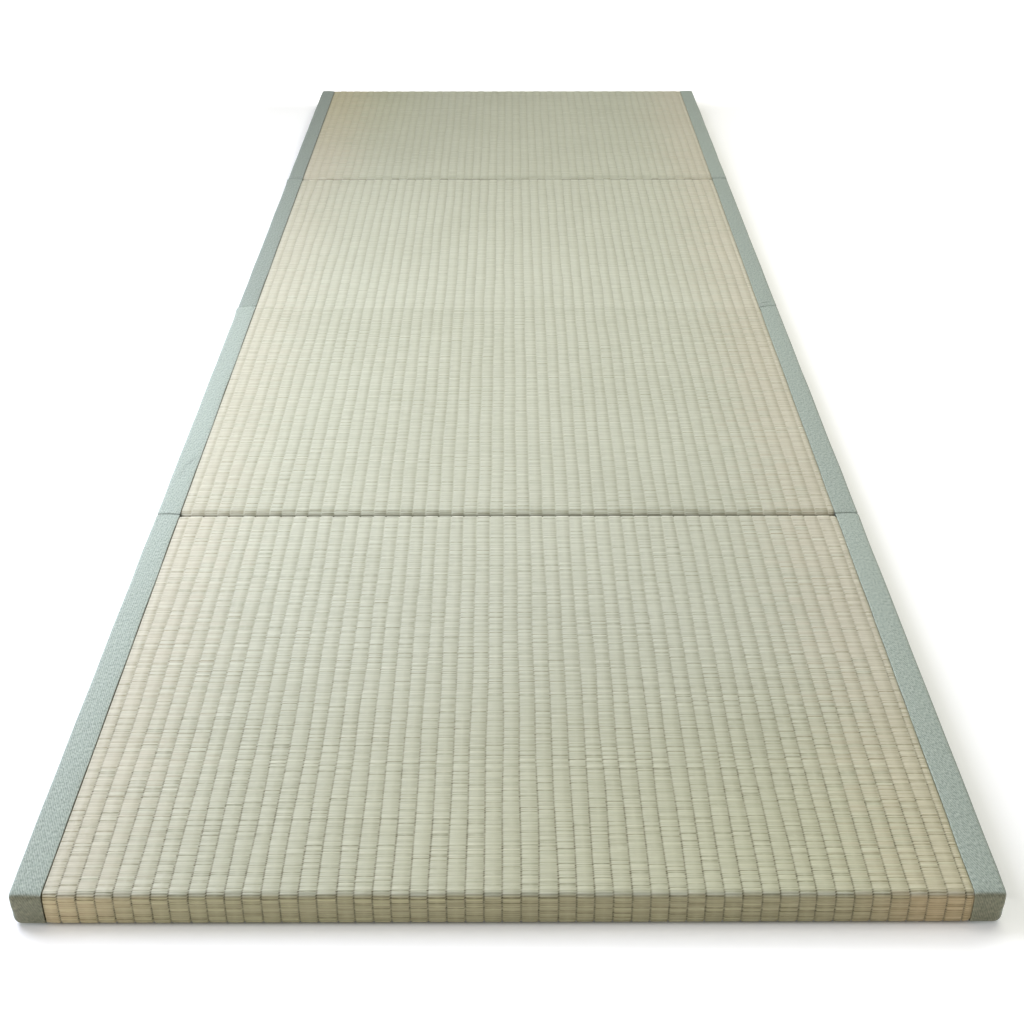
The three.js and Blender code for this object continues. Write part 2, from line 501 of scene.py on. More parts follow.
def rush_rows(section, rng):
    """Rows along the outline: their places and whether stems cross them."""
    span = section.woven_end - section.woven_start
    count = round(span / ROW_STEP)
    steps = np.clip(rng.normal(1.0, ROW_SPREAD, count), *ROW_LIMITS)
    places = np.concatenate([[0.0], np.cumsum(steps)])
    woven = section.woven_start + span * places / places[-1]
    before = np.linspace(0.0, section.woven_start, COARSE_ROWS)[:-1]
    after = np.linspace(section.woven_end, section.far_foot, COARSE_ROWS)[1:]
    under = np.linspace(section.far_foot, section.length, UNDERSIDE_ROWS)[1:-1]
    along = np.concatenate([before, woven, after, under])
    is_woven = np.zeros(len(along))
    is_woven[len(before) + 1 : len(before) + len(woven) - 1] = 1.0
    return along, is_woven


def wandering_columns(place, rib, y):
    """Columns moved a little sideways, each rib with the wander of the warp lines on both its sides."""
    rng = np.random.default_rng(SEED)
    stations = np.linspace(-HALF_LENGTH, HALF_LENGTH, WANDER_STATIONS)
    lines = wander(rng, stations, RIB_COUNT + 3, RIB_WANDER, *RIB_WANDER_LENGTHS)
    free = 1 - smoothstep(np.abs(place), *RIB_WANDER_FADE)
    x = np.empty_like(y)
    for column, base in enumerate(place):
        first = rib[column]
        share = (base - FIRST_RIB) / RIB_PITCH - (first - 1)
        line = (1 - share) * lines[first] + share * lines[first + 1]
        x[:, column] = base + free[column] * np.interp(y[:, column], stations, line)
    return x


def painted_fold_shade(piece, x, distance):
    """Painted shade on the rush beside its near end, where that end is a fold: less at the left edge."""
    tone, reach = FOLD_SHADE.get(piece["name"], (0.0, 1.0))
    at_left = 1 - smoothstep(x + HALF_WIDTH, *FOLD_SHADE_LEFT_REACH)
    fade = 1 - smoothstep(distance, FOLD_SHADE_FLAT * reach, reach)
    return tone * (1 - FOLD_SHADE_LEFT * at_left) * fade


def clear_of_hinge(section, y):
    """Places along the mat drawn back from the middle fold, to leave room for the bindings' turned ends."""
    for y_end, kind, inward in zip(section.ends, section.kinds, (1.0, -1.0)):
        if kind == "hinge":
            distance = inward * (y - y_end)
            y = y + inward * HINGE_HOLD * (1 - np.clip(distance / HINGE_HOLD_REACH, 0.0, 1.0))
    return y


def painted_light_over_mat(x, y):
    """Painted light and shade over the mat: lighter towards the near end, darker at the far left."""
    near = smoothstep(-y, NEAR_TONE_START, HALF_LENGTH)
    left = np.clip((FAR_LEFT_START - x) / FAR_LEFT_SPAN, 0.0, 1.0)
    far_left = smoothstep(y, *FAR_LEFT_ALONG) * left
    return NEAR_PAINTED_LIGHT * near - FAR_LEFT_PAINTED_SHADE * far_left


def yellow_corners(x, y):
    """How much yellower the rush is made: most at the near right corner and the far left one."""
    across = 0.5 + x / (2 * HALF_WIDTH)
    near = smoothstep(-y, HALF_LENGTH - NEAR_YELLOW_REACH, HALF_LENGTH)
    far = smoothstep(y, HALF_LENGTH - FAR_YELLOW_REACH, HALF_LENGTH)
    right = np.clip(across + NEAR_YELLOW_LEFT, 0.0, 1.0)
    left = np.clip(1 - FAR_YELLOW_SLOPE * across, 0.0, 1.0)
    return near * right + far * left


class Weave:
    """One rush piece on a grid of rows along its outline and columns across: its draws and smooth shape."""

    def __init__(self, piece, number):
        rng = np.random.default_rng(SEED + number)
        self.piece = piece
        self.section = Section(piece)
        self.along, self.is_woven = rush_rows(self.section, rng)
        self.place, self.drop, self.rib, self.kind = rush_columns()
        self.mark_columns()
        self.draw_stems(rng)
        self.follow_outline()

    def mark_columns(self):
        """What each column is, spread over the rows where that matters."""
        rows = np.ones((len(self.along), 1))
        self.on_stem = (self.kind == "stem")[None, :] * self.is_woven[:, None]
        self.in_valley = (self.kind == "valley")[None, :] * rows
        self.held = np.isin(self.kind, ("groove", "tongue"))[None, :]
        self.odd_rib = np.where(self.rib % 2 == 1, 1.0, -1.0)[None, :]

    def draw_stems(self, rng):
        """The random part: stems and gaps, their jitter, ragged valleys and how late each rib turns."""
        rows = len(self.along)
        self.tone, self.gap, self.is_gap = stem_shades(rng, rows, self.rib, self.piece["shares"])
        self.shift = np.clip(stem_noise(rng, rows, JITTER_KINSHIP), -1, 1)[:, self.rib]
        self.ragged = rng.normal(size=(rows, len(self.place)))
        self.lag = rng.uniform(0.0, 1.0, RIB_COUNT + 2)[None, self.rib]

    def follow_outline(self):
        """Places on the smooth outline, and how far the rush has turned down there."""
        along = self.along[:, None] + self.on_stem * STEM_JITTER * self.shift
        self.y, self.z, self.normal_y, self.normal_z = self.section.at(along)
        self.x = wandering_columns(self.place, self.rib, self.y)
        self.x += VALLEY_RAGGED * self.ragged * self.in_valley * self.is_woven[:, None]
        self.upper = self.z > 0.5 * RUSH_TOP
        below = np.where(self.normal_z < UNDERSIDE_NORMAL, UNDERSIDE_TURNED, 1.0)
        self.turned = np.where(self.upper, 1 - self.normal_z, below)
        self.late_turn = self.turned - TURN_LAG * self.lag
        self.on_top = 1 - smoothstep(self.turned, 0.0, TOP_END)
        self.at_fold = self.section.by_end(self.y, {"outer": 0.0, "fold": 1.0, "hinge": 0.0})
        self.ridge = np.exp(-((self.y / HINGE_RIDGE_REACH) ** 2)) * (self.odd_rib > 0)


def rush_points(weave):
    """Points of a rush piece: ribs, stems and gaps raised or sunk square to the outline."""
    section, normal_y, normal_z = weave.section, weave.normal_y, weave.normal_z
    corner = np.where(weave.upper, 4 * normal_y**2 * normal_z**2, 0.0)
    corner = corner * section.by_end(weave.y, CORNER_BULGE)
    end_gain = section.by_end(weave.y, END_RIB_GAIN)
    rib_gain = np.where(weave.held, 1.0, 1 + end_gain * np.clip(END_GAIN_RISE * weave.turned, 0, 1))
    height = -weave.drop[None, :] * rib_gain - STEM_HEIGHT
    stem_height = np.where(weave.is_gap, -STEM_HEIGHT - GAP_DROP * weave.gap, STEM_HEIGHT)
    height = height + weave.on_stem * stem_height
    height = height + np.where(weave.held, 0.0, corner * weave.odd_rib + HINGE_RIDGE * weave.ridge)
    y = np.where(weave.kind == "tongue", clear_of_hinge(section, weave.y), weave.y)
    return np.stack([weave.x, y + height * normal_y, weave.z + height * normal_z], axis=-1)


def painted_rim_highlights(weave):
    """Painted highlights where the rush starts to turn down, on the near side of a fold and at the mat's
    ends.
    """
    rim = FOLD_RIM_HIGHLIGHT * weave.at_fold * weave.upper * smoothstep(weave.normal_y, *FOLD_RIM_RISE)
    rim = rim * (1 - smoothstep(weave.normal_y, *FOLD_RIM_FALL))
    on_turn = (1 - weave.at_fold) * weave.upper * (weave.turned > TURN_START)
    beside = (weave.late_turn - TURN_RIM_PLACE) / TURN_RIM_REACH
    return rim + TURN_RIM_HIGHLIGHT * on_turn * np.exp(-(beside**2))


def rush_tone(weave):
    """How light the rush is beside its middle tone: the stems' tone, painted highlights at rims and over the
    middle fold, painted shade beside a fold and on the turned ends, and painted light over the mat.
    """
    piece, turned = weave.piece, weave.turned
    on_end = (1 - weave.at_fold) * smoothstep(turned, 0.0, END_SIDE_FULL)
    # Painted shade on the turned ends, darker to the right and lighter to the left
    end_side_shade = on_end * END_SIDE_SHADE * weave.x / HALF_WIDTH
    lift = weave.on_top * (painted_light_over_mat(weave.x, weave.y) + piece["tone"])
    from_end = weave.y - weave.section.ends[0] + FOLD_SHADE_RAGGED * (weave.lag - 0.5)
    shade = painted_fold_shade(piece, weave.x, from_end) + end_side_shade - lift
    stems = piece["stems"] * weave.on_stem * weave.tone * (1 + STEM_TURNED_GAIN * turned)
    return stems + HINGE_RIDGE_HIGHLIGHT * weave.ridge + painted_rim_highlights(weave) - shade


def rush_valley_shade(weave):
    """Painted shade in the valleys between the ribs, and painted shadow in the groove beside a binding."""
    base, knot = VALLEY_KNOTS
    clear = np.interp(weave.y, weave.section.ends, weave.piece["valleys"]) * (base + knot * weave.gap)
    fade = 1 - weave.at_fold * smoothstep(weave.turned, 0.0, FOLD_VALLEY_END)
    groove = np.where(weave.place < 0, GROOVE_SHADOW["left"], GROOVE_SHADOW["right"])[None, :]
    return weave.in_valley * clear * fade + weave.held * groove


def rush_straw(weave):
    """How far the rush has turned to straw, most beside the bindings and with a ragged border."""
    strength = np.where(weave.x < 0, *weave.piece["straw"])
    even = 1 - STRAW_TURNED_EVEN * np.clip(weave.turned, 0, 1)
    straggle = STRAW_RAGGED * even * weave.tone / STEM_TONE
    distance = np.clip(GROOVE_X - np.abs(weave.x) + straggle, 0, None)
    return np.clip(strength * np.exp(-((distance / STRAW_REACH) ** 2)), 0, 1)


def rush_crease_shade(weave):
    """The painted shadow line down in a fold, weaker at some ribs where the piece says so."""
    dash = FOLD_DASH.get(weave.piece["name"], 1.0)
    line = smoothstep(weave.turned, *weave.piece["fold"]) * weave.at_fold
    return line * np.where(weave.lag > FOLD_DASH_LAG, 1.0, dash)


def rush_values(weave):
    """The values that are painted on a rush piece for its material."""
    return {
        "stem_tone_and_painted_light": rush_tone(weave),
        "stem_gap": weave.piece["stems"] * weave.on_stem * weave.gap,
        "across_rib": np.broadcast_to(across_rib(weave.place, weave.rib, weave.kind), weave.y.shape),
        "valley_shade": rush_valley_shade(weave),
        "straw": rush_straw(weave),
        "yellow": weave.on_top * yellow_corners(weave.x, weave.y),
        # Share of the darker, warmer painted shade where the rush turns down
        "turned": smoothstep(weave.late_turn, 0.0, TURN_FULL) * (1 - weave.at_fold),
        "crease_shade": rush_crease_shade(weave),
    }


def add_object(name, data):
    made = bpy.data.objects.new(name, data)
    bpy.context.scene.collection.objects.link(made)
    return made


def new_object(name, points, faces, corners, material):
    """A mesh object, smooth, from points in millimetres and faces given as corner lists with their sizes."""
    mesh = bpy.data.meshes.new(name)
    mesh.vertices.add(len(points))
    mesh.vertices.foreach_set("co", (np.asarray(points) * MM).astype(np.float32).ravel())
    mesh.loops.add(len(corners))
    mesh.loops.foreach_set("vertex_index", corners.astype(np.int32))
    mesh.polygons.add(len(faces))
    starts = np.concatenate([[0], np.cumsum(faces)[:-1]])
    mesh.polygons.foreach_set("loop_start", starts.astype(np.int32))
    mesh.polygons.foreach_set("use_smooth", np.ones(len(faces), bool))
    mesh.update(calc_edges=True)
    mesh.validate()
    mesh.materials.append(material)
    return add_object(name, mesh)


def paint(mesh, name, values):
    layer = mesh.attributes.new(name, "FLOAT", "POINT")
    layer.data.foreach_set("value", np.asarray(values, np.float32).ravel())


def edge_ends(mesh):
    """The first and the second vertex number of every edge."""
    ends = np.empty(len(mesh.edges) * 2, np.int32)
    mesh.edges.foreach_get("vertices", ends)
    return ends[0::2], ends[1::2]


def mark_sharp(mesh, is_sharp):
    """Marks the edges whose two vertex numbers answer is_sharp."""
    layer = mesh.attributes.get("sharp_edge") or mesh.attributes.new("sharp_edge", "BOOLEAN", "EDGE")
    layer.data.foreach_set("value", is_sharp(*edge_ends(mesh)))


def lay_map(mesh, name, places):
    layer = mesh.uv_layers.new(name=name, do_init=False)
    layer.uv.foreach_set("vector", np.asarray(places, np.float32).ravel())


def rush_map(section, along, points):
    """Flat layout of a rush piece: the wrapped face below and the two hidden side caps in a strip on top."""
    rows, columns = points.shape[:2]
    face_share, cap_low, cap_high = 0.95, 0.96, 0.995
    cap_left, cap_right, cap_width = 0.01, 0.51, 0.48
    across = np.broadcast_to(points[:, :, 0].mean(0) / (2 * HALF_WIDTH) + 0.5, (rows + 1, columns))
    up = np.append(along, section.length)[:, None] / section.length * face_share
    up = np.broadcast_to(up, (rows + 1, columns))
    flat = np.stack([across, up], axis=-1)
    quads = np.stack([flat[:-1, :-1], flat[:-1, 1:], flat[1:, 1:], flat[1:, :-1]], axis=2).reshape(-1, 2)
    ends = points[:, 0, 1:]
    cap = (ends - ends.min(0)) / np.ptp(ends, axis=0)
    cap_up = cap_low + (cap_high - cap_low) * cap[:, 1]
    left = np.stack([cap_left + cap_width * cap[:, 0], cap_up], axis=1)
    right = left + (cap_right - cap_left, 0.0)
    return np.concatenate([quads, left, right[::-1]])


def make_rush(piece, number, material):
    """One rush-covered panel as a closed mesh whose top follows the ribs and stems."""
    weave = Weave(piece, number)
    points = rush_points(weave)
    rows, columns = points.shape[:2]
    grid = np.arange(rows * columns).reshape(rows, columns)
    ahead = np.roll(grid, -1, axis=0)
    quads = np.stack([grid[:, :-1], grid[:, 1:], ahead[:, 1:], ahead[:, :-1]], axis=-1).reshape(-1, 4)
    left_cap, right_cap = grid[:, 0], grid[::-1, -1]
    corners = np.concatenate([quads.ravel(), left_cap, right_cap])
    faces = np.concatenate([np.full(len(quads), 4), [rows, rows]])
    made = new_object(piece["name"], points.reshape(-1, 3), faces, corners, material)
    for name, values in rush_values(weave).items():
        paint(made.data, name, values)

    def stem_edge(first, second):
        same_row = first // columns == second // columns
        capped = (first % columns == second % columns) & np.isin(first % columns, (0, columns - 1))
        return (same_row & (weave.is_woven[first // columns] > 0)) | capped

    mark_sharp(made.data, stem_edge)
    lay_map(made.data, "OFBake", rush_map(weave.section, weave.along, points))
    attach(made, "root")
    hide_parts(piece["node"])
    return made


# Cloth binding


def graded(low, high, fine, coarse):
    """Places from low to high, close together within the fine distance of both ends."""
    reach = np.array(GRADED_SHARES) * fine
    inner = np.linspace(low + fine, high - fine, max(2, round((high - low - 2 * fine) / coarse) + 1))
    return np.concatenate([low + reach[:-1], inner, high - reach[-2::-1]])


def binding_rows(y_near, y_far, pleats):
    """Places along a binding, close together at its ends and around its pleats."""
    rows = [graded(y_near, y_far, BINDING_END_RADIUS["outer"], BINDING_ROW)]
    for pleat in pleats:
        first, last = sorted(end[1] for end in pleat["ends"])
        margin = PLEAT_MARGIN * pleat["reach"]
        rows.append(y_near + np.arange(max(first - margin, PLEAT_CLEAR), last + margin, PLEAT_ROW))
    return np.unique(np.round(np.concatenate(rows), 3))


def binding_walls(along, width):
    """The five walls of a binding as flat grids: points as across, along, up, and places on the cloth."""
    lip = width - LIP_REACH * np.array(LIP_SHARES)
    middle = np.linspace(MIDDLE_START, width - LIP_REACH - MIDDLE_MARGIN, MIDDLE_COLUMNS)
    across = np.concatenate([TURN_PLACES, middle, lip])
    up = graded(0.0, THICKNESS, BINDING_BOTTOM_RADIUS, BINDING_RISE)
    y_near, y_far = along[0], along[-1]

    def wall(first, second, build, flat):
        a, b = np.meshgrid(first, second, indexing="ij")
        return np.stack(build(a, b), axis=-1), np.stack(flat(a, b), axis=-1)

    def same(a, value):
        return np.full_like(a, value)

    return [
        wall(across, along, lambda a, y: (a, y, same(a, THICKNESS)), lambda a, y: (a, y)),
        wall(along, across, lambda y, a: (a, y, same(a, 0.0)), lambda y, a: (-THICKNESS - a, y)),
        wall(up, along, lambda z, y: (same(z, 0.0), y, z), lambda z, y: (z - THICKNESS, y)),
        wall(across, up, lambda a, z: (a, same(a, y_near), z), lambda a, z: (a, y_near - THICKNESS + z)),
        wall(up, across, lambda z, a: (a, same(a, y_far), z), lambda z, a: (a, y_far + THICKNESS - z)),
    ]


def joined_walls(walls):
    """The walls as one skin: shared points, quads, and the cloth place of each quad corner."""
    points, quads, flats, count = [], [], [], 0
    for wall_points, wall_flat in walls:
        rows, columns = wall_points.shape[:2]
        grid = count + np.arange(rows * columns).reshape(rows, columns)
        ring = [grid[:-1, :-1], grid[1:, :-1], grid[1:, 1:], grid[:-1, 1:]]
        quads.append(np.stack(ring, axis=-1).reshape(-1, 4))
        points.append(wall_points.reshape(-1, 3))
        flats.append(wall_flat.reshape(-1, 2))
        count += rows * columns
    points, quads, flats = np.concatenate(points), np.concatenate(quads), np.concatenate(flats)
    _, first, shared = np.unique(np.round(points, 3), axis=0, return_index=True, return_inverse=True)
    return points[first], shared.ravel(), quads, flats


def end_radius(y_end):
    """Radius of a binding's end, larger where the mat ends than at a fold."""
    at_mat_end = HALF_LENGTH - abs(y_end) < MAT_END_MARGIN
    return BINDING_END_RADIUS["outer" if at_mat_end else "fold"]


def round_edges(points, y_near, y_far):
    """Draws the walls' sharp edges in to the radii of turned cloth."""
    near_distance, far_distance = points[:, 1] - y_near, y_far - points[:, 1]
    end = np.where(near_distance < far_distance, end_radius(y_near), end_radius(y_far))
    beside_end = 1 - smoothstep(np.minimum(near_distance, far_distance), end, BINDING_END_BLEND)
    top_radius = BINDING_OUTER_RADIUS + beside_end * np.maximum(end - BINDING_OUTER_RADIUS, 0.0)
    is_low = points[:, 2] < THICKNESS / 2
    radius = np.full(points.shape, BINDING_OUTER_RADIUS)
    radius[is_low] = BINDING_BOTTOM_RADIUS
    radius[:, 1] = end
    radius[:, 2] = np.where(is_low, BINDING_BOTTOM_RADIUS, top_radius)
    low = np.array([0.0, y_near, 0.0]) + radius
    high = np.array([np.inf, y_far, THICKNESS]) - radius
    core = np.clip(points, low, high)
    out = (points - core) / radius
    size = np.maximum(np.linalg.norm(out, axis=1, keepdims=True), 1e-9)
    return core + radius * out / size


def settle_cloth(points, width, side, rng):
    """Slight unevenness of hand-turned cloth: a soft crown, a tucked lip and a wandering edge."""
    across, along, up = points.T
    top = smoothstep(up, THICKNESS - BINDING_OUTER_RADIUS, THICKNESS)
    lip = np.clip(1 - (width - across) / LIP_REACH, 0.0, 1.0) ** 2
    slow = wander(rng, along, 3, 1.0, *CLOTH_WAVES)
    from_middle = 2 * across / width - 1
    crown = np.where(from_middle < 0, OUTER_CROWN, CLOTH_CROWN[side]) * from_middle**2
    swell = CLOTH_SWELL * slow[0] * np.sin(np.pi * across / width)
    rise = -LIP_DROP[side] * lip - crown - CLOTH_SINK + swell
    sideways = EDGE_WANDER * slow[1] * (1 - across / width) + EDGE_WANDER * slow[2] * lip
    return np.stack([across + sideways, along, up + top * rise], axis=1)


def pleat_profile(points, y_near, pleat):
    """How deep in a pleat each point lies, from 0 to 1."""
    start, end = np.array(pleat["ends"]) + (0.0, y_near)
    line = end - start
    offset = points[:, :2] - start
    share = np.clip(offset @ line / (line @ line), 0.0, 1.0)
    distance = np.linalg.norm(offset - share[:, None] * line, axis=1)
    least, gain = PLEAT_TAPER
    taper = np.minimum(1.0, least + gain * share * (1 - share))
    return taper * np.exp(-((distance / pleat["reach"]) ** 2)) * (points[:, 2] > THICKNESS / 2)


def press_pleats(points, y_near, pleats):
    """Presses the pleats into the top of the cloth, each with a low swell beside it, and returns the painted
    shade in them.
    """
    depth = np.zeros(len(points))
    shade = np.zeros(len(points))
    for pleat in pleats:
        profile = pleat_profile(points, y_near, pleat)
        swell = pleat_profile(points, y_near, {**pleat, "reach": SWELL_REACH * pleat["reach"]})
        depth += pleat["depth"] * (profile - SWELL_DEPTH * swell)
        shade += profile * pleat["depth"]
    points[:, 2] -= depth
    return shade


def draw_end(points, width, y_near, y_far, end, outer, inner, flare):
    """Shears one end of a binding along the mat and flares it, fading out away from that end."""
    distance = points[:, 1] - y_near if end == "near" else y_far - points[:, 1]
    fade = 1 - smoothstep(distance, 0.0, BINDING_END_REACH)
    inward = np.clip(points[:, 0] / width, 0.0, 1.0)
    points[:, 1] += fade * (outer + (inner - outer) * inward)
    points[:, 0] -= fade * flare * (1 - inward)


def at_ends(points, y_near, y_far, kind, low, high):
    """1 at a binding's ends of one kind, fading to 0 between two distances from them."""
    share = np.zeros(len(points))
    for y_end in (y_near, y_far):
        if end_radius(y_end) == BINDING_END_RADIUS[kind]:
            share += 1 - smoothstep(np.abs(points[:, 1] - y_end), low, high)
    return share


def painted_edge_light(points, width, side):
    """Painted light on a binding's top edges: the right one has a painted highlight on its lip and painted
    shade on its outer rim.
    """
    across, _, up = points.T
    if side == "left":
        return np.ones(len(points))
    lip = smoothstep(across, width - LIP_HIGHLIGHT_REACH, width)
    rim_low, rim_high = (THICKNESS - down for down in RIM_DOWN)
    rim = (1 - smoothstep(across, *RIM_ACROSS)) * smoothstep(up, rim_low, rim_high)
    return 1 + LIP_HIGHLIGHT * lip - RIM_SHADE * rim


def seam_tone(points, y_near, key):
    """Shade of a binding's near end, darker where the seam beside it shows."""
    loss, reach = SEAM_SHADE.get(key, (0.0, 1.0))
    return 1 - loss * (1 - smoothstep(points[:, 1] - y_near, 0.0, reach))


def make_binding(side, number, material):
    """The cloth over one long edge of a panel: a thin wrapped shell with a turned lip."""
    key = f"{side}_{number}"
    node = f"binding_{key}"
    low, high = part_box(node)
    y_near, y_far = low.y / MM, high.y / MM
    width = (high.x - low.x) / MM
    outward = -1.0 if side == "left" else 1.0
    rng = np.random.default_rng(SEED + 100 * number + BINDING_SEEDS[side])
    pleats = PLEATS.get(key, [])
    along = binding_rows(y_near, y_far, pleats)
    points, shared, quads, flats = joined_walls(binding_walls(along, width))
    if outward > 0:
        quads = quads[:, ::-1]
    rounded = round_edges(points, y_near, y_far)
    # Painted shade at the ends that meet a fold, and in the pleats
    shade = at_ends(rounded, y_near, y_far, "fold", *FOLD_SEAM_SHADE)
    cloth = settle_cloth(rounded, width, side, rng)
    shade += press_pleats(cloth, y_near, pleats)
    for end in BINDING_ENDS.get(key, []):
        draw_end(cloth, width, y_near, y_far, **end)
    placed = np.stack([outward * (HALF_WIDTH - cloth[:, 0]), cloth[:, 1], cloth[:, 2]], axis=1)
    corners = shared[quads.ravel()]
    made = new_object(node + "_cloth", placed, np.full(len(quads), 4), corners, material)
    lay_map(made.data, "cloth", flats[quads.ravel()] * (-outward * MM, MM))
    paint(made.data, "crease_shade", np.clip(shade, 0.0, 1.0))
    # Painted highlight and painted shade on the right edges and at a seam, times the painted shade of single
    # bindings
    tone = painted_edge_light(rounded, width, side) * seam_tone(rounded, y_near, key)
    paint(made.data, "tone", BINDING_SHADE_TONES.get(key, 1.0) * tone)
    # Painted shade on the walls at the mat's ends
    paint(made.data, "end_wall_shade", at_ends(rounded, y_near, y_far, "outer", *END_WALL_SHADE))
    thicken(made)
    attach(made, "root")
    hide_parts(node)
    return made


def apply_modifier(made, modifier):
    bpy.context.view_layer.objects.active = made
    bpy.ops.object.modifier_apply(modifier=modifier.name)


def mark_lip(mesh, skin):
    """Marks the edges round the lip for softening. The first skin vertices are outside, the rest inside."""
    first, second = edge_ends(mesh)
    same_side = (first < skin) == (second < skin)
    on_rim = np.zeros(skin, bool)
    on_rim[first[~same_side] % skin] = True
    weights = same_side & on_rim[first % skin] & on_rim[second % skin]
    layer = mesh.attributes.new("bevel_weight_edge", "FLOAT", "EDGE")
    layer.data.foreach_set("value", weights.astype(np.float32))


def thicken(made):
    """Gives the cloth its thickness and softens the edges of its lip."""
    skin = len(made.data.vertices)
    solid = made.modifiers.new("thickness", "SOLIDIFY")
    solid.thickness = BINDING_THICKNESS * MM
    solid.offset = -1.0
    solid.use_even_offset = True
    apply_modifier(made, solid)
    mark_lip(made.data, skin)
    soft = made.modifiers.new("lip", "BEVEL")
    soft.width = LIP_BEVEL * MM
    soft.segments = 2
    soft.limit_method = "WEIGHT"
    apply_modifier(made, soft)


# Materials


def start_material(name):
    material = bpy.data.materials.new(name)
    material.use_nodes = True
    tree = material.node_tree
    shader = tree.nodes["Principled BSDF"]
    return material, tree, shader


def set_inputs(tree, node, inputs):
    """Sets a node's inputs to values, or joins them to sockets."""
    for key, value in inputs.items():
        if isinstance(value, bpy.types.NodeSocket):
            tree.links.new(value, node.inputs[key])
        else:
            node.inputs[key].default_value = value


def add_node(tree, kind, inputs=None, **settings):
    """A shader node with its settings and its inputs."""
    made = tree.nodes.new("ShaderNode" + kind)
    for key, value in settings.items():
        setattr(made, key, value)
    set_inputs(tree, made, inputs or {})
    return made


def calc(tree, operation, first, second=0.0, third=0.0, clamp=False):
    inputs = {0: first, 1: second, 2: third}
    made = add_node(tree, "Math", inputs, operation=operation, use_clamp=clamp)
    return made.outputs[0]


def blend(tree, share, first, second, kind="MIX"):
    """Two colours mixed by a share. A plain colour is given as three numbers."""
    first, second = ((*colour, 1.0) if isinstance(colour, tuple) else colour for colour in (first, second))
    inputs = {0: share, 6: first, 7: second}
    return add_node(tree, "Mix", inputs, data_type="RGBA", blend_type=kind).outputs[2]


def painted(tree, name):
    return add_node(tree, "Attribute", attribute_name=name).outputs["Fac"]


def noise(tree, vector, scale, detail=2.0, roughness=0.5):
    """Noise about zero."""
    inputs = {"Scale": scale, "Detail": detail, "Roughness": roughness, "Vector": vector}
    made = add_node(tree, "TexNoise", inputs)
    return calc(tree, "SUBTRACT", made.outputs["Fac"], 0.5)


def stretched(tree, source, scale):
    mapping = add_node(tree, "Mapping", {"Vector": source, "Scale": scale})
    return mapping.outputs["Vector"]


def weighted(tree, start, *terms):
    """A start value plus each value times its weight."""
    total = start
    for value, weight in terms:
        total = calc(tree, "MULTIPLY_ADD", value, weight, total)
    return total


def ramp(tree, share, stops):
    made = add_node(tree, "ValToRGB", {"Fac": share})
    bands = made.color_ramp.elements
    while len(bands) < len(stops):
        bands.new(0.5)
    for band, (position, colour) in zip(bands, stops):
        band.position = position
        band.color = (*colour, 1.0)
    return made.outputs["Color"]


def rush_material():
    """Woven rush: pale green-grey stems, straw-coloured towards the bindings, with painted shade between
    ribs, in the folds and on the turned ends.
    """
    material, tree, shader = start_material("woven_rush")
    place = add_node(tree, "TexCoord").outputs["Object"]
    streak = noise(tree, stretched(tree, place, STREAK_SCALE), 1.0, detail=3.0, roughness=0.6)
    fibre = noise(tree, stretched(tree, place, FIBRE_SCALE), 1.0)
    patch = noise(tree, place, PATCH_SCALE)
    # The stems' own tone with the painted light and shade added to it
    tone, gap = painted(tree, "stem_tone_and_painted_light"), painted(tree, "stem_gap")
    middle = calc(tree, "PINGPONG", painted(tree, "across_rib"), 0.5)
    gap = calc(tree, "MULTIPLY", gap, calc(tree, "MULTIPLY_ADD", middle, -2 * GAP_FADE, 1.0))
    marks = zip((streak, fibre, patch), RUSH_MARKS.values())
    value = weighted(tree, 0.5, (tone, 1.0), (gap, -GAP_TONE), *marks)
    straw_share = painted(tree, "straw")
    colour = blend(tree, straw_share, ramp(tree, value, RUSH_GREEN), ramp(tree, value, RUSH_STRAW))
    yellowed = blend(tree, 1.0, colour, RUSH_YELLOW, "MULTIPLY")
    colour = blend(tree, painted(tree, "yellow"), colour, yellowed)
    # Darker, warmer painted shade where the rush turns down at the mat's ends
    end_shade_colour = blend(tree, straw_share, RUSH_END_SHADE, STRAW_END_SHADE)
    end_shade_share = calc(tree, "MULTIPLY", painted(tree, "turned"), END_SHADE_SHARE)
    colour = blend(tree, end_shade_share, colour, blend(tree, 1.0, colour, end_shade_colour, "OVERLAY"))
    # Painted shade in the valleys and the groove
    valley_shade_share = calc(tree, "MULTIPLY", painted(tree, "valley_shade"), VALLEY_SHADE_SHARE, clamp=True)
    colour = blend(tree, valley_shade_share, colour, RUSH_VALLEY_SHADE)
    # Painted shadow down in the folds
    crease_shade_share = calc(tree, "MULTIPLY", painted(tree, "crease_shade"), CREASE_SHADE_SHARE)
    colour = blend(tree, crease_shade_share, colour, CREASE_SHADE)
    relief = weighted(tree, streak, (fibre, 0.5))
    finish = {
        "Base Color": colour,
        "Roughness": weighted(tree, 0.55, (streak, 0.25)),
        "Normal": add_node(tree, "Bump", {"Height": relief, **RUSH_BUMP}).outputs["Normal"],
        "Specular IOR Level": 0.3,
    }
    set_inputs(tree, shader, finish)
    return material


def along_directions(tree, vector, direction, periods):
    """Cloth coordinates along a direction and square to it, counted in periods."""
    across, up = direction
    axes = ((across, up), (-up, across))
    counts = []
    for (x, y), period in zip(axes, periods):
        inputs = {0: vector, 1: (x / period, y / period, 0.0)}
        product = add_node(tree, "VectorMath", inputs, operation="DOT_PRODUCT")
        counts.append(product.outputs["Value"])
    return add_node(tree, "CombineXYZ", {"X": counts[0], "Y": counts[1]}).outputs["Vector"]


